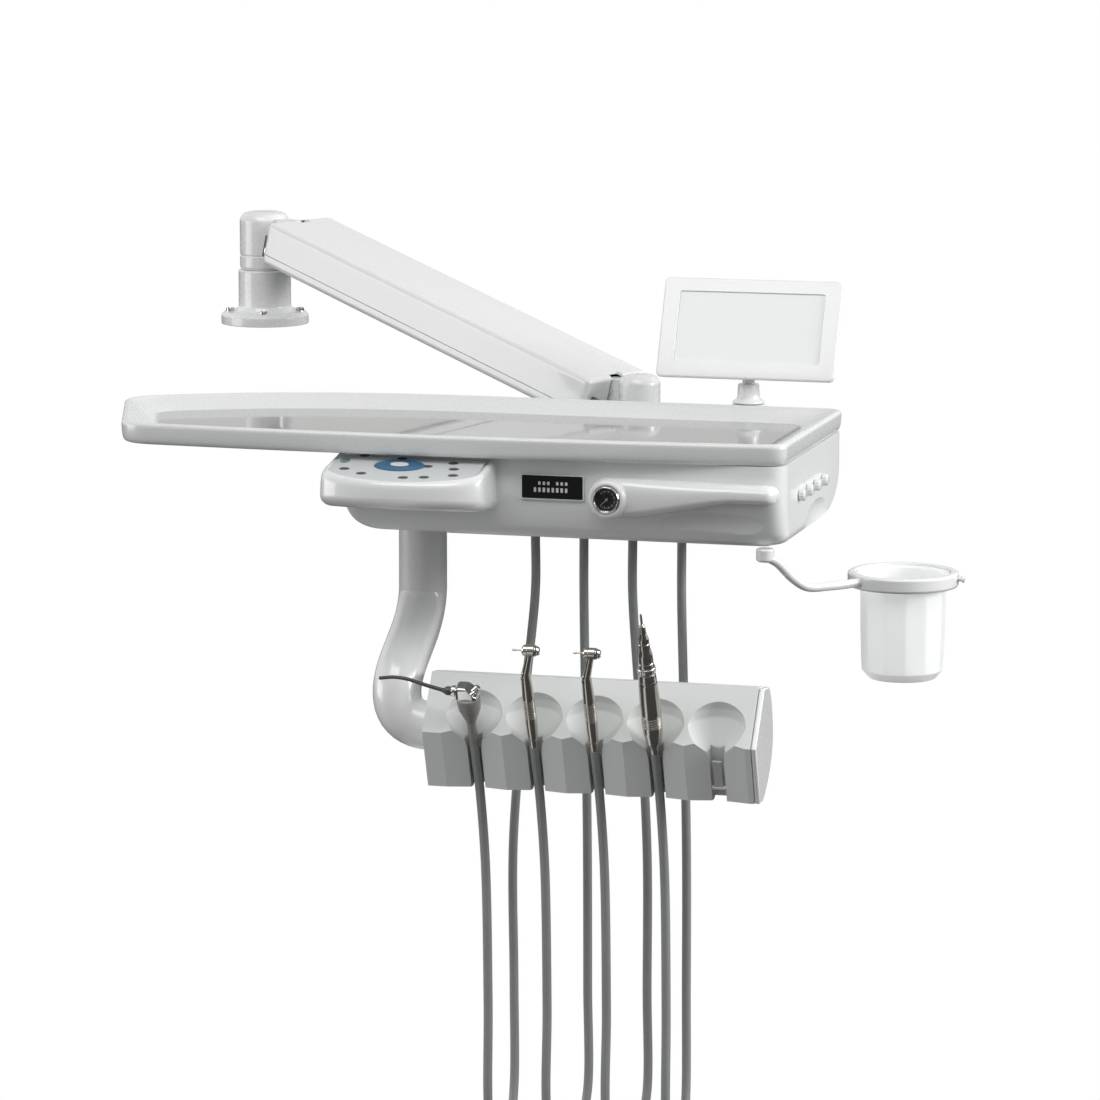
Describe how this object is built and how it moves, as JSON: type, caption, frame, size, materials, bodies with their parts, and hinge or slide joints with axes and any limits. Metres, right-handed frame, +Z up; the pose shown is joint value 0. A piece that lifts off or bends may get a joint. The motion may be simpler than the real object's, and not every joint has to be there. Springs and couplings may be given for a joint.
{
  "type": "dental delivery unit head",
  "caption": "Dentist's delivery head on a balance arm: tray, keypad, swivel screen, cup holder and a bar of hose-fed handpieces with an endodontic motor.",
  "frame": {"origin": "centre of the underside of the flange that carries the arm", "axes": "+Z up; +X to the operator's right, along the tray's length; -Y towards the operator"},
  "size_m": [0.9578, 0.7592, 0.9212],
  "materials": {
    "white_shell": "glossy moulded ABS, near white",
    "housing_shell": "satin-gloss moulded shell, cool off-white",
    "holder_grey": "fine satin moulded plastic, light cool grey",
    "enamel": "smooth white powder coat",
    "frame_metal": "dark grey primer on pressed steel",
    "aluminium": "machined block, satin",
    "steel": "polished stainless steel, fine turned grain",
    "chrome": "bright chrome",
    "liner_gloss": "high-gloss dark warm grey tray mat",
    "hose_rubber": "satin silicone sleeve, mid grey",
    "black_gloss": "glossy black window and anodised parts",
    "overlay_film": "printed polyester membrane, fine matt texture",
    "pad_blue": "satin blue printed rocker",
    "lens_glass": "clear instrument glass",
    "display_panel": "pale display behind glossy glass",
    "cup_plastic": "translucent frosted plastic",
    "board_green": "green solder mask"
  },
  "bodies": {
    "base": {"root_flange": "enamel"},
    "arm_root": {"root_knuckle": "enamel", "root_pin": "steel", "tie_pin_rear": "steel"},
    "arm": {"arm_beam": "frame_metal", "arm_top_cover": "white_shell", "arm_bottom_cover": "white_shell", "gas_spring_cylinder": "black_gloss"},
    "tie_link": {"tie_rod": "frame_metal"},
    "spring_rod": {"gas_spring_rod": "chrome"},
    "arm_front": {"front_knuckle": "enamel", "front_pin": "steel", "tie_pin_front": "steel"},
    "head": {"tray_top": "white_shell", "housing": "housing_shell", "base_cover": "housing_shell", "keypad_pod": "white_shell", "keypad_overlay": "overlay_film", "display_module": "black_gloss", "gauge_case": "chrome", "gauge_lens": "lens_glass", "control_board": "board_green", "valve_block": "aluminium", "support_tube": "white_shell", "holder_bar": "holder_grey", "holder_end_cap": "white_shell", "gland_plate": "holder_grey", "hose_1": "hose_rubber", "hose_2": "hose_rubber", "hose_3": "hose_rubber", "hose_4": "hose_rubber", "screen_stem": "white_shell"},
    "liner": {"tray_liner": "liner_gloss"},
    "rocker": {"keypad_pad": "pad_blue"},
    "needle": {"gauge_needle": "steel"},
    "knob_1": {"flow_knob_1": "white_shell"},
    "knob_2": {"flow_knob_2": "white_shell"},
    "knob_3": {"flow_knob_3": "white_shell"},
    "knob_4": {"flow_knob_4": "white_shell"},
    "lever": {"valve_lever": "steel"},
    "syringe": {"syringe_body": "steel"},
    "air_button": {"syringe_air_button": "chrome"},
    "water_button": {"syringe_water_button": "chrome"},
    "nozzle": {"syringe_nozzle": "steel"},
    "turbine_1": {"turbine_1_body": "steel"},
    "cap_1": {"turbine_1_cap": "chrome"},
    "bur_1": {"turbine_1_bur": "steel"},
    "turbine_2": {"turbine_2_body": "steel"},
    "cap_2": {"turbine_2_cap": "chrome"},
    "bur_2": {"turbine_2_bur": "steel"},
    "motor": {"motor_body": "steel", "motor_nose": "steel"},
    "coupling_ring": {"motor_ring": "chrome"},
    "cup_holder": {"cup_arm": "white_shell"},
    "cup_body": {"cup": "cup_plastic"},
    "screen_swivel_block": {"screen_hinge": "white_shell", "screen_pin": "steel"},
    "screen": {"screen_frame": "white_shell", "screen_back": "white_shell", "screen_glass": "display_panel"}
  },
  "joints": [
    {"name": "root_swivel", "type": "hinge", "parent": "base", "child": "arm_root", "pos_m": [0, 0, 0.062], "axis": [0, 0, 1], "range_deg": [-150, 150]},
    {"name": "arm_lift", "type": "hinge", "parent": "arm_root", "child": "arm", "pos_m": [0.04198, -0.02327, 0.088], "axis": [0.4848, 0.8746, 0], "range_deg": [-28, 15]},
    {"name": "tie_swing", "type": "hinge", "parent": "arm_root", "child": "tie_link", "pos_m": [0.04198, -0.02327, 0.112], "axis": [0.4848, 0.8746, 0], "range_deg": [-28, 15]},
    {"name": "spring_stroke", "type": "slide", "parent": "arm", "child": "spring_rod", "axis": [0.8448, -0.4683, -0.2588], "range_m": [-0.015, 0.008]},
    {"name": "front_level", "type": "hinge", "parent": "arm", "child": "arm_front", "pos_m": [0.48129, -0.26678, -0.04659], "axis": [0.4848, 0.8746, 0], "range_deg": [-15, 28]},
    {"name": "head_swivel", "type": "hinge", "parent": "arm_front", "child": "head", "pos_m": [0.51627, -0.28617, -0.06], "axis": [0, 0, 1], "range_deg": [-25, 75]},
    {"name": "liner_lift", "type": "slide", "parent": "head", "child": "liner", "axis": [0, 0, 1], "range_m": [0, 0.02]},
    {"name": "pad_press", "type": "slide", "parent": "head", "child": "rocker", "axis": [0, 0.2215, -0.9751], "range_m": [0, 0.0008], "stiffness_N_per_m": 1500, "springref_m": -0.0003},
    {"name": "needle_turn", "type": "hinge", "parent": "head", "child": "needle", "pos_m": [0.57427, -0.64517, -0.08629], "axis": [0, 1, 0], "range_deg": [0, 270], "stiffness_Nm_per_rad": 0.0005, "springref_deg": -11.46},
    {"name": "knob_1_turn", "type": "hinge", "parent": "head", "child": "knob_1", "pos_m": [0.75127, -0.55917, -0.08729], "axis": [1, 0, 0], "range_deg": [0, 270]},
    {"name": "knob_2_turn", "type": "hinge", "parent": "head", "child": "knob_2", "pos_m": [0.75127, -0.52317, -0.08729], "axis": [1, 0, 0], "range_deg": [0, 270]},
    {"name": "knob_3_turn", "type": "hinge", "parent": "head", "child": "knob_3", "pos_m": [0.75127, -0.48717, -0.08729], "axis": [1, 0, 0], "range_deg": [0, 270]},
    {"name": "knob_4_turn", "type": "hinge", "parent": "head", "child": "knob_4", "pos_m": [0.75127, -0.45117, -0.08729], "axis": [1, 0, 0], "range_deg": [0, 270]},
    {"name": "lever_push", "type": "hinge", "parent": "head", "child": "lever", "pos_m": [0.68607, -0.62344, -0.37881], "axis": [-1, 0, 0], "range_deg": [0, 8], "stiffness_Nm_per_rad": 0.05, "springref_deg": -1.72},
    {"name": "syringe_lift", "type": "slide", "parent": "head", "child": "syringe", "axis": [0, -0.3746, 0.9272], "range_m": [0, 0.08]},
    {"name": "air_press", "type": "slide", "parent": "syringe", "child": "air_button", "axis": [-0.7071, 0.2649, -0.6556], "range_m": [0, 0.0015], "stiffness_N_per_m": 800, "springref_m": -0.0005},
    {"name": "water_press", "type": "slide", "parent": "syringe", "child": "water_button", "axis": [-0.7071, 0.2649, -0.6556], "range_m": [0, 0.0015], "stiffness_N_per_m": 800, "springref_m": -0.0005},
    {"name": "nozzle_turn", "type": "hinge", "parent": "syringe", "child": "nozzle", "pos_m": [0.41427, -0.6609, -0.28609], "axis": [1, 0, 0], "continuous": true},
    {"name": "turbine_1_lift", "type": "slide", "parent": "head", "child": "turbine_1", "axis": [0, -0.3746, 0.9272], "range_m": [0, 0.08]},
    {"name": "cap_1_press", "type": "slide", "parent": "turbine_1", "child": "cap_1", "axis": [-1, 0, 0], "range_m": [0, 0.0006], "stiffness_N_per_m": 2000, "springref_m": -0.0003},
    {"name": "bur_1_spin", "type": "hinge", "parent": "turbine_1", "child": "bur_1", "pos_m": [0.49047, -0.68075, -0.23695], "axis": [1, 0, 0], "continuous": true},
    {"name": "turbine_2_lift", "type": "slide", "parent": "head", "child": "turbine_2", "axis": [0, -0.3746, 0.9272], "range_m": [0, 0.08]},
    {"name": "cap_2_press", "type": "slide", "parent": "turbine_2", "child": "cap_2", "axis": [-1, 0, 0], "range_m": [0, 0.0006], "stiffness_N_per_m": 2000, "springref_m": -0.0003},
    {"name": "bur_2_spin", "type": "hinge", "parent": "turbine_2", "child": "bur_2", "pos_m": [0.55367, -0.68075, -0.23695], "axis": [1, 0, 0], "continuous": true},
    {"name": "motor_lift", "type": "slide", "parent": "head", "child": "motor", "axis": [0, -0.3746, 0.9272], "range_m": [0, 0.08]},
    {"name": "ring_turn", "type": "hinge", "parent": "motor", "child": "coupling_ring", "pos_m": [0.62287, -0.67498, -0.25123], "axis": [0, -0.3746, 0.9272], "range_deg": [-20, 20]},
    {"name": "cup_swing", "type": "hinge", "parent": "head", "child": "cup_holder", "pos_m": [0.73027, -0.61817, -0.13929], "axis": [0, 0, 1], "range_deg": [-90, 10]},
    {"name": "cup_lift", "type": "slide", "parent": "cup_holder", "child": "cup_body", "axis": [0, 0, 1], "range_m": [0, 0.11]},
    {"name": "screen_swivel", "type": "hinge", "parent": "head", "child": "screen_swivel_block", "pos_m": [0.64627, -0.33317, 0.00671], "axis": [0, 0, 1], "range_deg": [-45, 45]},
    {"name": "screen_tilt", "type": "hinge", "parent": "screen_swivel_block", "child": "screen", "pos_m": [0.64627, -0.33317, 0.00671], "axis": [1, 0, 0], "range_deg": [-25, 20]}
  ],
  "couplings": [
    {"joint": "tie_swing", "follows": "arm_lift", "ratio": 1},
    {"joint": "front_level", "follows": "arm_lift", "ratio": -1},
    {"joint": "spring_stroke", "follows": "arm_lift", "m_per_rad": 0.03}
  ]
}
